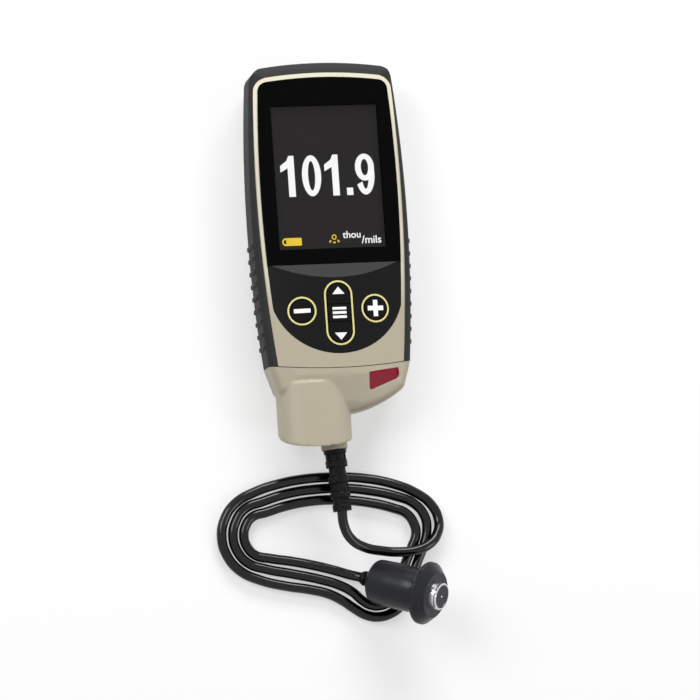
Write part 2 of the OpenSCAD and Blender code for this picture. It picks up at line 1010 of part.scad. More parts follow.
module probe_boot() {
    color([0.1, 0.1, 0.1])
        probe_frame() {
            translate([0, 0, -probe_boot_l])
                cylinder(r = cord_d / 2 + 0.5, h = probe_boot_l + 3);
            for (i = [0:1])
                translate([0, 0, -probe_boot_l + 1 + i * 2.6])
                    cylinder(r = cord_d / 2 + 1, h = 1.4);
        }
}

module probe_housing() {
    color([0.14, 0.14, 0.14])
        probe_frame()
            difference() {
                rotate_extrude()
                    polygon(concat([[0, 0], [probe_d / 2 - 2.4, 0]],
                        arc([probe_d / 2 - 2.4, 2.4], 2.4, -75, 0, 5),
                        [[probe_d / 2 + 0.2, probe_l * 0.4], [probe_d / 2, probe_l * 0.8], [probe_d / 2 - 0.5, probe_l], [0, probe_l]]));
                translate([0, 0, 3])
                    cylinder(d = probe_bore, h = probe_l);
                translate([0, 0, -1])
                    cylinder(r = cord_d / 2 + 0.5, h = 5);
            }
}

module probe_collar() {
    color([0.14, 0.14, 0.14])
        probe_frame()
            rotate_extrude()
                polygon([[tip_d / 2 - 0.4, probe_l], [probe_d / 2 - 1, probe_l], [flange_d / 2 - 0.5, probe_l + 1.6],
                    [flange_d / 2, probe_l + 2.1], [flange_d / 2, probe_l + 3.4], [flange_d / 2 - 0.3, probe_l + 3.8],
                    [flange_d / 2 - 3.2, probe_l + collar_t - 0.2], [flange_d / 2 - 3.5, probe_l + collar_t],
                    [tip_d / 2 - 0.4, probe_l + collar_t]]);
}

module tip_ring() {
    color([0.75, 0.75, 0.76])
        probe_frame()
            rotate_extrude()
                polygon([[tip_d / 2 - 1, probe_l - 2], [tip_d / 2 - 0.4, probe_l - 2],
                    [tip_d / 2 - 0.4, probe_l + collar_t], [tip_d / 2, probe_l + collar_t],
                    [tip_d / 2 - 0.25, probe_l + collar_t + tip_h - 0.3],
                    [tip_d / 2 - 0.5, probe_l + collar_t + tip_h], [tip_d / 2 - 1, probe_l + collar_t + tip_h]]);
}

module delay_line() {
    color([0.25, 0.25, 0.26])
        probe_frame()
            translate([0, 0, probe_l - 1])
                cylinder(r = tip_d / 2 - 1, h = collar_t + tip_h + 0.8);
}

module crystal() {
    color([0.8, 0.75, 0.6])
        probe_frame()
            translate([0, 0, probe_l - 1.6])
                cylinder(r = tip_d / 2 - 1, h = 0.6);
}

module crystal_backing() {
    color([0.3, 0.2, 0.15])
        probe_frame()
            translate([0, 0, 3])
                cylinder(r = tip_d / 2 - 1, h = probe_l - 4.6);
}

front_housing();
rear_housing();
rubber_bumper();
housing_gasket();
housing_screws();
display_lens();
lcd_panel();
lcd_frame();
keypad_fascia();
key_outlines();
minus_key();
plus_key();
up_key();
menu_key();
down_key();
key_switches();
main_board();
board_chips();
sounder();
battery_cells();
battery_springs();
battery_contacts();
battery_door();
probe_rail();
rail_contacts();
connector_cap();
connector_block();
connector_contacts();
cap_badge();
cable_boot();
probe_cable();
probe_boot();
probe_housing();
probe_collar();
tip_ring();
delay_line();
crystal();
crystal_backing();
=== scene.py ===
"""Handheld coating thickness gauge with a cabled probe, dressed for a studio picture.

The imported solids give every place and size. Moulded shells, keys and probe pieces are smoothed copies
of their solids, and the cord, the display's figures and the key signs are added here. Metres throughout.
"""
import json
import math

import bpy
from mathutils import Matrix, Vector


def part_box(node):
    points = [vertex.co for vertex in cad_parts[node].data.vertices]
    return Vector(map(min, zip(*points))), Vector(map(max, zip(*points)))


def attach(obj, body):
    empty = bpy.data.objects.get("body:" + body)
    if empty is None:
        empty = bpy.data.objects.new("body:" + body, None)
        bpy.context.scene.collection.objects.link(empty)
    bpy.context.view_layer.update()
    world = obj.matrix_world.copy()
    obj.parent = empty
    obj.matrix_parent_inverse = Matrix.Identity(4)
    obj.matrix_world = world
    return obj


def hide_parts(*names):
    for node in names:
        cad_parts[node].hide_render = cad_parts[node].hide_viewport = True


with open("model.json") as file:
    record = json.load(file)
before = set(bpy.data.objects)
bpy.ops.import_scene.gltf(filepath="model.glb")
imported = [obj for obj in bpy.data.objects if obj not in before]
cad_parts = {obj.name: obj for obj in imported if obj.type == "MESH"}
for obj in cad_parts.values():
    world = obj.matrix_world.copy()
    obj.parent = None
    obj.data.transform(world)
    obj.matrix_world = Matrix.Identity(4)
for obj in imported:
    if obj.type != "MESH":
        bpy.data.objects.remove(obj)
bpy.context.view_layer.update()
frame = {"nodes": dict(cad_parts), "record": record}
nodes = frame["nodes"]
MM = 0.001

# Camera, fitted to the photo's square frame
CAMERA_AT = (-0.29529, -0.23076, 1.40078)
CAMERA_RIGHT = (0.9767, -0.06863, 0.20334)
CAMERA_UP = (0.04161, 0.99007, 0.13429)
CAMERA_BACK = (-0.21053, -0.1227, 0.96986)
CAMERA_LENS = 180
CAMERA_SENSOR = 36

# Studio
FLOOR_SIZE = 8
FLOOR_GREY = (0.86, 0.86, 0.86, 1)
FLOOR_WHITENED = 0.5  # share of plain white that the camera sees in the floor
WORLD_LEVEL = 0.26
WHITE = (1, 1, 1, 1)
LAMPS_AIM = Vector((0, -0.05, 0))
LAMPS = {  # place, size and power
    "key_light": ((-0.9, 0.5, 1.0), (0.7, 0.7), 11),
    "top_light": ((0.25, 1.3, 0.8), (1.1, 0.6), 25),
    "fill_light": ((1.0, -0.6, 0.8), (0.6, 0.9), 6),
}

# Cord: its route is in millimetres, as in part.scad
CORD_D = 4.1 * MM
TABLE = 2.1  # height of the cord's middle where it lies on the table
FROM_GAUGE = [
    (-2.2, -119, 14.2), (-1.6, -127, 13.4), (1.4, -132.3, 11.4), (7, -135.8, 9.4), (14.5, -137.6, 8),
    (22, -138.4, 7.2), (29, -138, 6.8), (35, -135.8, 6.3), (39, -131.5, 4.6), (40.4, -125.5, 2.5)]
ON_TABLE = [
    (37.8, -119.2), (31.5, -114), (22.5, -110), (11, -107.2), (-2, -106), (-15, -106.2), (-26, -107.8),
    (-35, -110.3), (-43.5, -114.5), (-48.5, -120.8), (-50.2, -128.3), (-48.5, -135.8), (-43.5, -142.2),
    (-35.5, -146.4), (-25, -149.4), (-15, -151.4), (-7.5, -153.6), (-2, -156.6), (2.7, -160.1), (7.3, -163),
    (12.5, -164.1), (17.7, -163), (22.3, -160), (25.3, -155.5), (27.8, -149), (30.5, -142.3), (33.5, -136),
    (35.3, -130), (34.8, -124), (30.8, -118.6), (23, -115), (13, -112.4), (2, -110.8), (-10, -110.6),
    (-22, -111.8), (-32.5, -114.5), (-39.8, -117), (-44, -122), (-45.6, -128.3), (-44, -134.6), (-39.8, -139.4),
    (-33, -142), (-22, -144.6), (-10, -147.7), (-3, -150.2), (2.2, -153.2), (6, -156.8), (9.2, -158.9),
    (13.3, -159.5), (17.6, -158), (21, -153.8), (23.2, -147.8), (25.8, -141.8), (28.5, -136.3), (30.6, -131.2),
    (30, -126.6), (27.2, -122.4), (22, -120), (11, -117), (-1, -115.4), (-13, -115.4), (-23, -116.8),
    (-31, -118.9), (-37, -120.5), (-40, -123.9), (-41.1, -128.3), (-40, -132.7), (-37, -136.1), (-31, -137.8),
    (-22, -139.5), (-12, -141.9), (-4, -144.3)]
TO_PROBE = [(1.2, -146.1, 2.2), (6.1, -147.7, 4), (7.6, -148.3, 5.3)]
CORD_ROUTE = FROM_GAUGE + [(x, y, TABLE) for x, y in ON_TABLE] + TO_PROBE

# Display and keypad
LIT_W = 44.4 * MM
LIT_H = 59.4 * MM
LIT_Y = 15.4 * MM
CROWN_R = 110 * MM
SIDE_KEY_X = 15.2 * MM
SIDE_KEY_Y = -39.9 * MM
NAV_Y = -41.3 * MM
KEY_RISE = 0.35 * MM
PRINT_T = 0.1 * MM
MINUS_SIGN = (6.8 * MM, 1.7 * MM)
PLUS_SIGN = (6.7 * MM, 1.9 * MM)
ARROW_SIGN = (5.1 * MM, 3 * MM)
UP_Y = NAV_Y + 8.6 * MM
DOWN_Y = NAV_Y - 9.2 * MM
MENU_BAR = (5.7 * MM, 1.05 * MM)
MENU_PITCH = 1.75 * MM

# What the display shows, with places from the lit area's lower left corner
READING_AT = (2.9 * MM, 22.2 * MM)
READING_H = 17 * MM
READING_SQUEEZE = 0.9
UPPER_UNIT_AT, UPPER_UNIT_H = (27 * MM, 4.4 * MM), 2.9 * MM
LOWER_UNIT_AT, LOWER_UNIT_H = (34.8 * MM, 2 * MM), 3.2 * MM
CELL_AT, CELL_SIZE = (6.6 * MM, 3.6 * MM), (6.4 * MM, 3.2 * MM)
CELL_END_AT = (3.2 * MM, 3.6 * MM)
PROBE_SIGN_AT = (23.4 * MM, 3.6 * MM)
PROBE_MARKS = ((0, -0.8 * MM, 0), (-1.7 * MM, -0.3 * MM, 0.9), (1.7 * MM, -0.3 * MM, -0.9))  # x, y and turn

# Shading and shapes of the copies
MERGE = 0.002 * MM
SMOOTH_TO = math.radians(16)
ON_CROWN = 0.01 * MM
ALONG = 0.99  # cosine above which two directions count as one
SLOPE = Vector((0, 0.463, 0.886)).normalized()
# Span along the front shell over which its painted highlight fades from cream above to beige below
HIGHLIGHT_FROM, HIGHLIGHT_TO = -42 * MM, -12 * MM
BADGE_FLAT = math.radians(6)
BADGE_ROUNDING = 1.1 * MM
CAP_BLEND_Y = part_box("connector_cap")[1].y - 4.5 * MM
CAP_REMESH_DEPTH = 7
CAP_EASE_STEPS = 14
CAP_SMOOTH_TO = math.radians(50)

# Probe
PROBE_AT = Vector((10.7, -149.6, 7.9)) * MM
PROBE_TIP_UP = math.radians(40)
PROBE_TURN = math.radians(-22)
PROBE_FACE = 31.8 * MM
TIP_DOT_R = 0.45 * MM


class Wire:
    """A shader socket whose sums, products and comparisons add Math nodes to its tree."""

    def __init__(self, tree, socket):
        self.tree = tree
        self.socket = socket

    def math(self, operation, first, second):
        return add(self.tree, "ShaderNodeMath", {"operation": operation}, {0: first, 1: second})

    def __add__(self, other):
        return self.math("ADD", self, other)

    def __radd__(self, other):
        return self.math("ADD", other, self)

    def __sub__(self, other):
        return self.math("SUBTRACT", self, other)

    def __rsub__(self, other):
        return self.math("SUBTRACT", other, self)

    def __mul__(self, other):
        return self.math("MULTIPLY", self, other)

    def __rmul__(self, other):
        return self.math("MULTIPLY", other, self)

    def __lt__(self, other):
        return self.math("LESS_THAN", self, other)

    def __abs__(self):
        return add(self.tree, "ShaderNodeMath", {"operation": "ABSOLUTE"}, {0: self})


def add(tree, kind, settings=None, inputs=None, output=0):
    """A node of that kind, with its settings first, then the values or links of its sockets."""
    node = tree.nodes.new(kind)
    for name, value in (settings or {}).items():
        setattr(node, name, value)
    for name, value in (inputs or {}).items():
        if isinstance(value, Wire):
            tree.links.new(value.socket, node.inputs[name])
        else:
            node.inputs[name].default_value = value
    return Wire(tree, node.outputs[output])


def linear(red, green, blue):
    """A colour written as 0 to 255 screen values, in Blender's linear light."""
    def channel(value):
        value /= 255
        return value / 12.92 if value <= 0.04045 else ((value + 0.055) / 1.055) ** 2.4
    return (channel(red), channel(green), channel(blue), 1)


def shade(colour, factor):
    return tuple(min(1, part * factor) for part in colour[:3]) + (1,)


def new_material(name):
    material = bpy.data.materials.new(name)
    material.use_nodes = True
    tree = material.node_tree
    shader = tree.nodes["Principled BSDF"]
    return material, tree, shader


def noise(tree, size, detail=2):
    """Noise over Object coordinates whose features are about that size, in metres."""
    place = add(tree, "ShaderNodeTexCoord", output="Object")
    return add(tree, "ShaderNodeTexNoise", None, {"Vector": place, "Scale": 1 / size, "Detail": detail})


def blend_colours(tree, factor, first, second):
    """First colour at factor 0, second at 1, by the Mix node's sockets for colours."""
    return add(tree, "ShaderNodeMix", {"data_type": "RGBA"}, {0: factor, 6: first, 7: second}, output=2)


def roughen(tree, shader, height, strength, depth):
    """Raises and sinks the surface by that height's values."""
    bump = add(tree, "ShaderNodeBump", None, {"Height": height, "Strength": strength, "Distance": depth})
    tree.links.new(bump.socket, shader.inputs["Normal"])


def moulded(name, colour, rough, grain, depth, drift=0.08, patch=12 * MM, specular=0.5):
    """Moulded plastic or rubber: slow drift of its colour, fine grain in its gloss and its surface."""
    material, tree, shader = new_material(name)
    slow = noise(tree, patch)
    fine = noise(tree, grain, detail=3)
    mixed = blend_colours(tree, slow, shade(colour, 1 - drift), shade(colour, 1 + drift))
    tree.links.new(mixed.socket, shader.inputs["Base Color"])
    gloss = rough - 0.06 + 0.12 * fine
    tree.links.new(gloss.socket, shader.inputs["Roughness"])
    roughen(tree, shader, fine, 0.5, depth)
    shader.inputs["Specular IOR Level"].default_value = specular
    return material


def front_shell():
    """Moulded front shell with a painted highlight: cream round the window, where its rim catches the light,
    grading to beige towards the lower end.
    """
    material, tree, shader = new_material("front_plastic")
    place = add(tree, "ShaderNodeTexCoord", output="Object")
    along = add(tree, "ShaderNodeSeparateXYZ", None, {0: place}, output="Y")
    upper = add(tree, "ShaderNodeMapRange", None, {"Value": along, "From Min": HIGHLIGHT_FROM, "From Max": HIGHLIGHT_TO})
    slow = noise(tree, 12 * MM)
    fine = noise(tree, 0.5 * MM, detail=3)
    # Painted highlight: cream round the window, where the rim catches the light, beige towards the lower end
    mixed = blend_colours(tree, upper, SHELL, HIGHLIGHT_CREAM)
    drifted = blend_colours(tree, 0.06 * slow, mixed, shade(SHELL, 0.7))
    tree.links.new(drifted.socket, shader.inputs["Base Color"])
    tree.links.new((0.42 + 0.12 * fine).socket, shader.inputs["Roughness"])
    roughen(tree, shader, fine, 0.5, 0.02 * MM)
    return material


def metal(name, colour, rough, grain):
    """Turned metal with fine streaks in its gloss."""
    material, tree, shader = new_material(name)
    streak = noise(tree, grain, detail=4)
    mixed = blend_colours(tree, streak, shade(colour, 0.85), shade(colour, 1.1))
    tree.links.new(mixed.socket, shader.inputs["Base Color"])
    gloss = rough - 0.05 + 0.1 * streak
    tree.links.new(gloss.socket, shader.inputs["Roughness"])
    shader.inputs["Metallic"].default_value = 1
    return material


def window_glass():
    """Black-backed window, clear only over the lit area."""
    material, tree, shader = new_material("lens_glass")
    place = add(tree, "ShaderNodeTexCoord", output="Object")
    across = abs(add(tree, "ShaderNodeSeparateXYZ", None, {0: place}, output="X")) < LIT_W / 2
    along = abs(add(tree, "ShaderNodeSeparateXYZ", None, {0: place}, output="Y") - LIT_Y) < LIT_H / 2
    clear = across * along
    smear = noise(tree, 20 * MM)
    tree.links.new((1 - 0.85 * clear).socket, shader.inputs["Alpha"])
    tree.links.new((0.04 + 0.06 * smear).socket, shader.inputs["Roughness"])
    shader.inputs["Base Color"].default_value = linear(2, 2, 3)
    shader.inputs["Specular IOR Level"].default_value = 0.04
    return material


def lit(name, colour, glow):
    """A part of the display that gives its own light, slightly uneven from spot to spot."""
    material, tree, shader = new_material(name)
    dots = noise(tree, 0.4 * MM)
    mixed = blend_colours(tree, dots, shade(colour, 0.93), shade(colour, 1.07))
    tree.links.new(mixed.socket, shader.inputs["Emission Color"])
    shader.inputs["Base Color"].default_value = shade(colour, 0.2)
    shader.inputs["Emission Strength"].default_value = glow
    shader.inputs["Specular IOR Level"].default_value = 0.1
    shader.inputs["Roughness"].default_value = 0.4
    return material


def cord_jacket():
    """Smooth glossy jacket, slightly uneven."""
    material, tree, shader = new_material("cord_black")
    slow = noise(tree, 6 * MM)
    fine = noise(tree, 0.7 * MM)
    mixed = blend_colours(tree, slow, linear(1, 1, 1), linear(3, 3, 3))
    tree.links.new(mixed.socket, shader.inputs["Base Color"])
    tree.links.new((0.12 + 0.05 * slow).socket, shader.inputs["Roughness"])
    shader.inputs["Specular IOR Level"].default_value = 0.32
    roughen(tree, shader, fine, 0.2, 0.03 * MM)
    return material


SHELL = linear(164, 156, 136)
# Cream of the painted highlight round the window on the front shell
HIGHLIGHT_CREAM = linear(216, 209, 188)
FINISHES = {
    "shell_plastic": moulded("shell_plastic", SHELL, 0.48, 0.5 * MM, 0.02 * MM, drift=0.03),
    "bumper_rubber": moulded("bumper_rubber", linear(38, 38, 39), 0.6, 0.4 * MM, 0.025 * MM, specular=0.15),
    "black_rubber": moulded("black_rubber", linear(10, 10, 10), 0.42, 0.4 * MM, 0.02 * MM, specular=0.12),
    "bright_metal": metal("bright_metal", linear(205, 205, 208), 0.22, 0.3 * MM),
    "lens_glass": window_glass(),
    "screen": lit("screen", linear(46, 44, 43), 0.85),
    "fascia_plastic": moulded("fascia_plastic", linear(9, 9, 10), 0.42, 0.35 * MM, 0.012 * MM, specular=0.12),
    "outline_yellow": moulded("outline_yellow", linear(212, 202, 132), 0.5, 0.6 * MM, 0.01 * MM, drift=0.05,
                              patch=4 * MM),
    "key_plastic": moulded("key_plastic", linear(6, 6, 6), 0.4, 0.35 * MM, 0.01 * MM, specular=0.1),
    "board_green": moulded("board_green", linear(20, 80, 48), 0.4, 0.8 * MM, 0.01 * MM),
    "black_plastic": moulded("black_plastic", linear(24, 24, 24), 0.45, 0.5 * MM, 0.015 * MM, specular=0.2),
    "contact_brass": metal("contact_brass", linear(214, 180, 104), 0.28, 0.2 * MM),
    "badge_red": moulded("badge_red", linear(124, 10, 36), 0.35, 0.6 * MM, 0.01 * MM, drift=0.06, patch=5 * MM,
                         specular=0.2),
    "cord_black": cord_jacket(),
    "probe_plastic": moulded("probe_plastic", linear(19, 21, 26), 0.3, 0.35 * MM, 0.012 * MM, specular=0.25),
}
FRONT_SHELL = front_shell()
PRINT_WHITE = moulded("print_white", linear(236, 236, 236), 0.5, 0.5 * MM, 0.005 * MM, drift=0.02, patch=3 * MM)
FIGURE_WHITE = lit("figure_white", linear(255, 255, 255), 1.15)
FIGURE_YELLOW = lit("figure_yellow", linear(240, 208, 60), 1.1)

# Which finish each solid has
SLOT_OF = {
    "shell_plastic": ["front_housing", "rear_housing", "battery_door", "connector_cap"],
    "bumper_rubber": ["rubber_bumper"],
    "black_rubber": ["housing_gasket", "cable_boot", "probe_boot"],
    "bright_metal": ["housing_screws", "battery_springs", "tip_ring", "battery_cells"],
    "lens_glass": ["display_lens"],
    "screen": ["lcd_panel"],
    "fascia_plastic": ["keypad_fascia"],
    "outline_yellow": ["key_outlines"],
    "key_plastic": ["minus_key", "plus_key", "up_key", "menu_key", "down_key"],
    "board_green": ["main_board"],
    "black_plastic": ["lcd_frame", "key_switches", "board_chips", "sounder", "probe_rail", "connector_block",
                      "crystal_backing"],
    "contact_brass": ["battery_contacts", "rail_contacts", "connector_contacts", "crystal"],
    "badge_red": ["cap_badge"],
    "cord_black": ["probe_cable"],
    "probe_plastic": ["probe_housing", "probe_collar", "delay_line"],
}
BODY_OF = {node: body for body, members in frame["record"]["behaviour"]["bodies"].items() for node in members}


def paint_solids():
    for slot, members in SLOT_OF.items():
        for name in members:
            mesh = nodes[name].data
            mesh.materials.clear()
            mesh.materials.append(FINISHES[slot])


def select_only(piece):
    bpy.ops.object.select_all(action="DESELECT")
    piece.select_set(True)
    bpy.context.view_layer.objects.active = piece


def settle(piece, material, body):
    """Puts the piece's place into its mesh, gives it its finish and lets it ride on a body."""
    select_only(piece)
    bpy.ops.object.transform_apply(location=True, rotation=True, scale=True)
    piece.data.materials.clear()
    piece.data.materials.append(material)
    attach(piece, body)


def merged_copy(name):
    """A copy of a solid whose triangles share their corners."""
    copy = bpy.data.objects.new(name + "_finish", nodes[name].data.copy())
    bpy.context.scene.collection.objects.link(copy)
    select_only(copy)
    bpy.ops.object.mode_set(mode="EDIT")
    bpy.ops.mesh.select_all(action="SELECT")
    bpy.ops.mesh.remove_doubles(threshold=MERGE)
    bpy.ops.object.mode_set(mode="OBJECT")
    return copy


def finish_copy(copy, name, slot):
    settle(copy, FRONT_SHELL if name == "front_housing" else FINISHES[slot], BODY_OF[name])
    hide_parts(name)


def crown_shading(copy):
    """Gives the faces on the crowned front the shading of a true cylinder, and the slope that of a plane."""
    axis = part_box("keypad_fascia")[1].z - CROWN_R
    mesh = copy.data
    normals = [Vector(corner.vector) for corner in mesh.corner_normals]
    for face in mesh.polygons:
        places = [mesh.vertices[index].co for index in face.vertices]
        rays = [Vector((place.x, 0, place.z - axis)) for place in places]
        reach = [ray.length for ray in rays]
        along = face.normal.dot(sum(rays, Vector()).normalized()) > ALONG
        if along and min(reach) > CROWN_R - ON_CROWN and max(reach) - min(reach) < ON_CROWN:
            for corner, ray in zip(face.loop_indices, rays):
                normals[corner] = ray.normalized()
        elif face.normal.dot(SLOPE) > ALONG:
            for corner in face.loop_indices:
                normals[corner] = SLOPE
    mesh.normals_split_custom_set(normals)


def smooth_copy(name, slot):
    """A merged copy whose round faces shade as one."""
    copy = merged_copy(name)
    bpy.ops.object.shade_smooth_by_angle(angle=SMOOTH_TO)
    even = copy.modifiers.new("even", "WEIGHTED_NORMAL")
    even.keep_sharp = True
    bpy.ops.object.modifier_apply(modifier="even")
    crown_shading(copy)
    finish_copy(copy, name, slot)


def rounded_badge():
    """The coloured plate, with its upright edges rounded."""
    name = "cap_badge"
    copy = merged_copy(name)
    bpy.ops.object.mode_set(mode="EDIT")
    bpy.ops.mesh.select_all(action="SELECT")
    bpy.ops.mesh.dissolve_limited(angle_limit=BADGE_FLAT)
    bpy.ops.mesh.select_all(action="DESELECT")
    bpy.ops.object.mode_set(mode="OBJECT")
    mesh = copy.data
    for edge in mesh.edges:
        first, second = (mesh.vertices[index].co for index in edge.vertices)
        upright = 0.9 * (first - second).length
        edge.select = abs(first.z - second.z) > upright
    bpy.ops.object.mode_set(mode="EDIT")
    bpy.ops.mesh.select_mode(type="EDGE")
    bpy.ops.mesh.bevel(offset=BADGE_ROUNDING, segments=5, clamp_overlap=False)
    bpy.ops.object.mode_set(mode="OBJECT")
    bpy.ops.object.shade_smooth_by_angle(angle=SMOOTH_TO)
    finish_copy(copy, name, "badge_red")


def blended_cap():
    """The connector's cap, remeshed so that its snout flows into it as on one moulding."""
    name = "connector_cap"
    copy = merged_copy(name)
    even = copy.modifiers.new("even", "REMESH")
    even.mode = "SHARP"
    even.octree_depth = CAP_REMESH_DEPTH
    even.scale = 0.99
    bpy.ops.object.modifier_apply(modifier="even")
    near = copy.vertex_groups.new(name="blend")
    near.add([v.index for v in copy.data.vertices if v.co.y < CAP_BLEND_Y], 1, "REPLACE")
    ease = copy.modifiers.new("ease", "SMOOTH")
    ease.factor = 0.5
    ease.iterations = CAP_EASE_STEPS
    ease.vertex_group = "blend"
    bpy.ops.object.modifier_apply(modifier="ease")
    bpy.ops.object.shade_smooth_by_angle(angle=CAP_SMOOTH_TO)
    finish_copy(copy, name, "shell_plastic")


def make_cord():
    """The probe's lead: one smooth curve along the route."""
    curve = bpy.data.curves.new("probe_lead_cord", "CURVE")
    curve.dimensions = "3D"
    curve.bevel_depth = CORD_D / 2
    curve.bevel_resolution = 6
    curve.resolution_u = 8
    curve.use_fill_caps = True
    spline = curve.splines.new("BEZIER")
    spline.bezier_points.add(len(CORD_ROUTE) - 1)
    for point, place in zip(spline.bezier_points, CORD_ROUTE):
        point.co = Vector(place) * MM
        point.handle_left_type = "AUTO"
        point.handle_right_type = "AUTO"
    cord = bpy.data.objects.new("probe_lead_cord", curve)
    bpy.context.scene.collection.objects.link(cord)
    curve.materials.append(FINISHES["cord_black"])
    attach(cord, "probe_lead")
    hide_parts("probe_cable")
    return cord


def thicken(piece):
    """Gives a flat outline its thickness."""
    select_only(piece)
    bpy.ops.object.mode_set(mode="EDIT")
    bpy.ops.mesh.select_all(action="SELECT")
    bpy.ops.mesh.extrude_region_move(TRANSFORM_OT_translate={"value": (0, 0, PRINT_T)})
    bpy.ops.mesh.select_all(action="SELECT")
    bpy.ops.mesh.normals_make_consistent(inside=False)
    bpy.ops.object.mode_set(mode="OBJECT")
    return piece


def bar(name, width, height, rounding):
    """A flat bar with round corners, PRINT_T thick, about its own centre."""
    bpy.ops.object.select_all(action="DESELECT")
    bpy.ops.mesh.primitive_plane_add(size=1)
    piece = bpy.context.object
    piece.name = name
    piece.scale = (width, height, 1)
    bpy.ops.object.transform_apply(scale=True)
    bpy.ops.object.mode_set(mode="EDIT")
    bpy.ops.mesh.select_all(action="SELECT")
    bpy.ops.mesh.bevel(offset=rounding, segments=4, affect="VERTICES")
    bpy.ops.object.mode_set(mode="OBJECT")
    return thicken(piece)


def arrow(name, width, height, points_up):
    """A flat triangle with slightly blunt corners, about its own centre."""
    bpy.ops.object.select_all(action="DESELECT")
    bpy.ops.mesh.primitive_circle_add(vertices=3, radius=1, fill_type="NGON")
    piece = bpy.context.object
    piece.name = name
    piece.scale = (width / math.sqrt(3), height / 1.5, 1)
    piece.rotation_euler = (0, 0, 0 if points_up else math.pi)
    bpy.ops.object.transform_apply(rotation=True, scale=True)
    bpy.ops.object.mode_set(mode="EDIT")
    bpy.ops.mesh.select_all(action="SELECT")
    bpy.ops.mesh.bevel(offset=0.12 * MM, segments=2, affect="VERTICES")
    bpy.ops.object.mode_set(mode="OBJECT")
    return thicken(piece)


def join(name, pieces):
    bpy.ops.object.select_all(action="DESELECT")
    for piece in pieces:
        piece.select_set(True)
    bpy.context.view_layer.objects.active = pieces[0]
    bpy.ops.object.transform_apply(location=True, rotation=True, scale=True)
    bpy.ops.object.join()
    pieces[0].name = name
    return pieces[0]


def oval(name, centre, outer, inner, start=-180, end=180):
    """A flat oval band between two ovals, or the stretch of it between two angles."""
    bpy.ops.object.select_all(action="DESELECT")
    bpy.ops.mesh.primitive_circle_add(vertices=72, radius=1, fill_type="NOTHING")
    piece = bpy.context.object
    piece.name = name
    piece.scale = (outer[0], outer[1], 1)
    bpy.ops.object.transform_apply(scale=True)
    bpy.ops.object.mode_set(mode="EDIT")
    bpy.ops.mesh.primitive_circle_add(vertices=72, radius=1, fill_type="NOTHING")
    bpy.ops.transform.resize(value=(inner[0], inner[1], 1))
    bpy.ops.mesh.select_all(action="SELECT")
    bpy.ops.mesh.bridge_edge_loops()
    bpy.ops.mesh.select_mode(type="FACE")
    bpy.ops.mesh.select_all(action="DESELECT")
    bpy.ops.object.mode_set(mode="OBJECT")
    for face in piece.data.polygons:
        angle = math.degrees(math.atan2(face.center.y / outer[1], face.center.x / outer[0]))
        face.select = not start <= angle <= end
    bpy.ops.object.mode_set(mode="EDIT")
    bpy.ops.mesh.delete(type="FACE")
    bpy.ops.object.mode_set(mode="OBJECT")
    piece.location = (centre[0], centre[1], 0)
    bpy.ops.object.transform_apply(location=True)
    return thicken(piece)


def polygon(name, corners):
    """A flat shape whose outline runs through those corners."""
    bpy.ops.object.select_all(action="DESELECT")
    bpy.ops.mesh.primitive_circle_add(vertices=len(corners), radius=1, fill_type="NGON")
    piece = bpy.context.object
    piece.name = name
    for vertex, corner in zip(piece.data.vertices, corners):
        vertex.co = (corner[0], corner[1], 0)
    return thicken(piece)


def cross(name, size, width):
    """A flat plus sign."""
    far, near = size / 2, width / 2
    return polygon(name, [(far, near), (near, near), (near, far), (-near, far), (-near, near), (-far, near),
                          (-far, -near), (-near, -near), (-near, -far), (near, -far), (near, -near), (far, -near)])


def digit(kind, name):
    """A bold figure, one unit high, standing on the origin."""
    if kind == "1":
        return polygon(name, [(0.2, 0), (0.38, 0), (0.38, 1), (0.24, 1), (0.18, 0.88), (0, 0.76), (0, 0.6),
                              (0.2, 0.7)])
    if kind == "0":
        return oval(name, (0.26, 0.5), (0.26, 0.5), (0.095, 0.36))
    if kind == ".":
        return polygon(name, [(0, 0), (0.17, 0), (0.17, 0.18), (0, 0.18)])
    bowl = oval(name, (0.26, 0.67), (0.26, 0.33), (0.1, 0.2))
    tail = oval(name + "_tail", (0.26, 0.5), (0.26, 0.5), (0.095, 0.36), -143, 20)
    return join(name, [bowl, tail])


def reading(text, height, squeeze):
    """The figures of a reading beside each other, from the origin."""
    widths = {"1": 0.58, "0": 0.62, ".": 0.26, "9": 0.52}
    figures = []
    x = 0
    for place, kind in enumerate(text):
        figure = digit(kind, "figure_%d" % place)
        figure.scale = (height * squeeze, height, 1)
        figure.location = (x * height * squeeze, 0, 0)
        x += widths[kind]
        figures.append(figure)
    return join("reading", figures)


def words(name, text, height):
    """Letters of that height as a thin mesh with its lower left corner at the origin."""
    bpy.ops.object.select_all(action="DESELECT")
    bpy.ops.object.text_add()
    piece = bpy.context.object
    piece.name = name
    piece.data.body = text
    piece.data.extrude = 0.05
    piece.data.offset = 0.012
    bpy.ops.object.convert(target="MESH")
    low = Vector(map(min, zip(*(v.co for v in piece.data.vertices))))
    high = Vector(map(max, zip(*(v.co for v in piece.data.vertices))))
    grow = height / (high.y - low.y)
    piece.data.transform(Matrix.Translation(-low))
    piece.data.transform(Matrix.Diagonal((grow, grow, PRINT_T / (high.z - low.z), 1)))
    return piece


def on_crown(x, y):
    """A place on the keys' crown, with print sunk into it by a third, and the crown's sideways slope there."""
    radius = CROWN_R + KEY_RISE
    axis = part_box("keypad_fascia")[1].z - CROWN_R
    z = axis + math.sqrt(radius ** 2 - x ** 2)
    return Vector((x, y, z - PRINT_T / 3)), math.asin(x / radius)


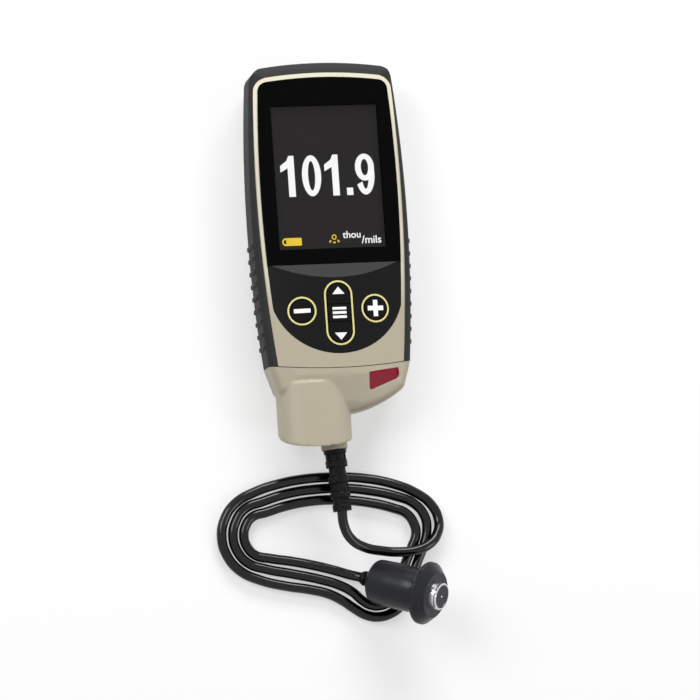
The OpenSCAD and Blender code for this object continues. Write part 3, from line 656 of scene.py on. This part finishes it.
def key_signs():
    """The white signs, one piece for each key."""
    signs = {
        "minus_key": [(bar("minus", *MINUS_SIGN, 0.15 * MM), -SIDE_KEY_X, SIDE_KEY_Y)],
        "plus_key": [(cross("plus", *PLUS_SIGN), SIDE_KEY_X, SIDE_KEY_Y)],
        "up_key": [(arrow("up", *ARROW_SIGN, True), 0, UP_Y)],
        "menu_key": [(bar("menu", *MENU_BAR, 0.1 * MM), 0, NAV_Y + step * MENU_PITCH) for step in (-1, 0, 1)],
        "down_key": [(arrow("down", *ARROW_SIGN, False), 0, DOWN_Y)],
    }
    for node, marks in signs.items():
        for piece, x, y in marks:
            piece.location, tip = on_crown(x, y)
            piece.rotation_euler = (0, tip, 0)
        sign = join(node.replace("_key", "_sign"), [piece for piece, x, y in marks])
        settle(sign, PRINT_WHITE, BODY_OF[node])


def on_panel(place):
    """A place given from the lit area's lower left corner, on top of the lit panel."""
    return (place[0] - LIT_W / 2, place[1] + LIT_Y - LIT_H / 2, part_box("lcd_panel")[1].z)


def display_figures():
    """The reading, its unit, the battery sign and the probe sign, on top of the lit panel."""
    number = reading("101.9", READING_H, READING_SQUEEZE)
    number.location = on_panel(READING_AT)
    settle(number, FIGURE_WHITE, "gauge")
    upper = words("unit", "thou", UPPER_UNIT_H)
    upper.location = on_panel(UPPER_UNIT_AT)
    lower = words("unit_low", "/mils", LOWER_UNIT_H)
    lower.location = on_panel(LOWER_UNIT_AT)
    settle(join("unit", [upper, lower]), FIGURE_WHITE, "gauge")
    cell = bar("cell_sign", *CELL_SIZE, 0.3 * MM)
    cell.location = on_panel(CELL_AT)
    end = oval("cell_case", (0, 0), (1.5 * MM, 1.6 * MM), (0.9 * MM, 0.9 * MM))
    end.location = on_panel(CELL_END_AT)
    settle(join("cell_sign", [cell, end]), FIGURE_YELLOW, "gauge")
    ring = oval("probe_sign", (0, 1.4 * MM), (1 * MM, 1.1 * MM), (0.6 * MM, 0.7 * MM))
    marks = []
    for x, y, turn in PROBE_MARKS:
        mark = bar("probe_mark", 1.1 * MM, 0.6 * MM, 0.15 * MM)
        mark.location = (x, y, 0)
        mark.rotation_euler = (0, 0, turn)
        marks.append(mark)
    sign = join("probe_sign", [ring] + marks)
    sign.location = on_panel(PROBE_SIGN_AT)
    settle(sign, FIGURE_YELLOW, "gauge")


def tip_dot():
    """Small bright contact in the middle of the tip's face."""
    bpy.ops.object.select_all(action="DESELECT")
    bpy.ops.mesh.primitive_uv_sphere_add(segments=24, ring_count=12, radius=TIP_DOT_R)
    dot = bpy.context.object
    dot.name = "tip_dot"
    dot.scale = (1, 1, 0.5)
    dot.rotation_euler = (0, math.pi / 2 - PROBE_TIP_UP, PROBE_TURN)
    level = math.cos(PROBE_TIP_UP)
    axis = Vector((level * math.cos(PROBE_TURN), level * math.sin(PROBE_TURN), math.sin(PROBE_TIP_UP)))
    dot.location = PROBE_AT + axis * PROBE_FACE
    bpy.ops.object.shade_smooth()
    settle(dot, FINISHES["bright_metal"], "probe_lead")


def shown(tree, low, high):
    """High for rays from the camera, off gloss or through glass, low for the others."""
    seen = add(tree, "ShaderNodeLightPath", output="Is Camera Ray")
    seen = seen + add(tree, "ShaderNodeLightPath", output="Is Glossy Ray")
    seen = seen + add(tree, "ShaderNodeLightPath", output="Is Transmission Ray")
    return add(tree, "ShaderNodeMapRange", None, {"Value": seen, "To Min": low, "To Max": high})


def floor():
    """Pale floor that keeps the shadows and shows white to the camera, gloss and glass."""
    bpy.ops.object.select_all(action="DESELECT")
    bpy.ops.mesh.primitive_plane_add(size=FLOOR_SIZE)
    ground = bpy.context.object
    ground.name = "floor"
    material, tree, shader = new_material("floor")
    shader.inputs["Base Color"].default_value = FLOOR_GREY
    shader.inputs["Roughness"].default_value = 0.9
    shader.inputs["Specular IOR Level"].default_value = 0.1
    glow = add(tree, "ShaderNodeEmission", None, {"Color": WHITE, "Strength": 1})
    plain = Wire(tree, shader.outputs[0])
    mix = add(tree, "ShaderNodeMixShader", None, {0: shown(tree, 0, FLOOR_WHITENED), 1: plain, 2: glow})
    tree.links.new(mix.socket, tree.nodes["Material Output"].inputs["Surface"])
    ground.data.materials.append(material)


def softbox(name, at, size, power):
    lamp = bpy.data.lights.new(name, "AREA")
    lamp.shape = "RECTANGLE"
    lamp.size, lamp.size_y = size
    lamp.energy = power
    box = bpy.data.objects.new(name, lamp)
    box.location = at
    box.rotation_euler = (LAMPS_AIM - Vector(at)).to_track_quat("-Z", "Y").to_euler()
    bpy.context.scene.collection.objects.link(box)


def studio():
    """White surroundings that light softly, and three large lamps."""
    world = bpy.data.worlds.new("studio")
    bpy.context.scene.world = world
    world.use_nodes = True
    tree = world.node_tree
    sky = tree.nodes["Background"]
    sky.inputs["Color"].default_value = WHITE
    tree.links.new(shown(tree, WORLD_LEVEL, 1).socket, sky.inputs["Strength"])
    for name, (at, size, power) in LAMPS.items():
        softbox(name, at, size, power)


def camera():
    data = bpy.data.cameras.new("camera")
    data.lens = CAMERA_LENS
    data.sensor_width = CAMERA_SENSOR
    eye = bpy.data.objects.new("camera", data)
    turn = Matrix((CAMERA_RIGHT, CAMERA_UP, CAMERA_BACK)).transposed().to_4x4()
    eye.matrix_world = Matrix.Translation(CAMERA_AT) @ turn
    bpy.context.scene.collection.objects.link(eye)
    bpy.context.scene.camera = eye


# Solids whose smoothed copies are shown in their place
SMOOTHED = ("front_housing", "rear_housing", "rubber_bumper", "keypad_fascia", "key_outlines", "display_lens",
            "minus_key", "plus_key", "up_key", "menu_key", "down_key", "cable_boot", "probe_boot",
            "probe_housing", "probe_collar", "tip_ring", "delay_line", "battery_door")

bpy.context.scene.view_settings.view_transform = "Standard"
camera()
studio()
floor()
paint_solids()
cord = make_cord()
for name in SMOOTHED:
    slot = next(key for key, members in SLOT_OF.items() if name in members)
    smooth_copy(name, slot)
blended_cap()
rounded_badge()
key_signs()
display_figures()
tip_dot()
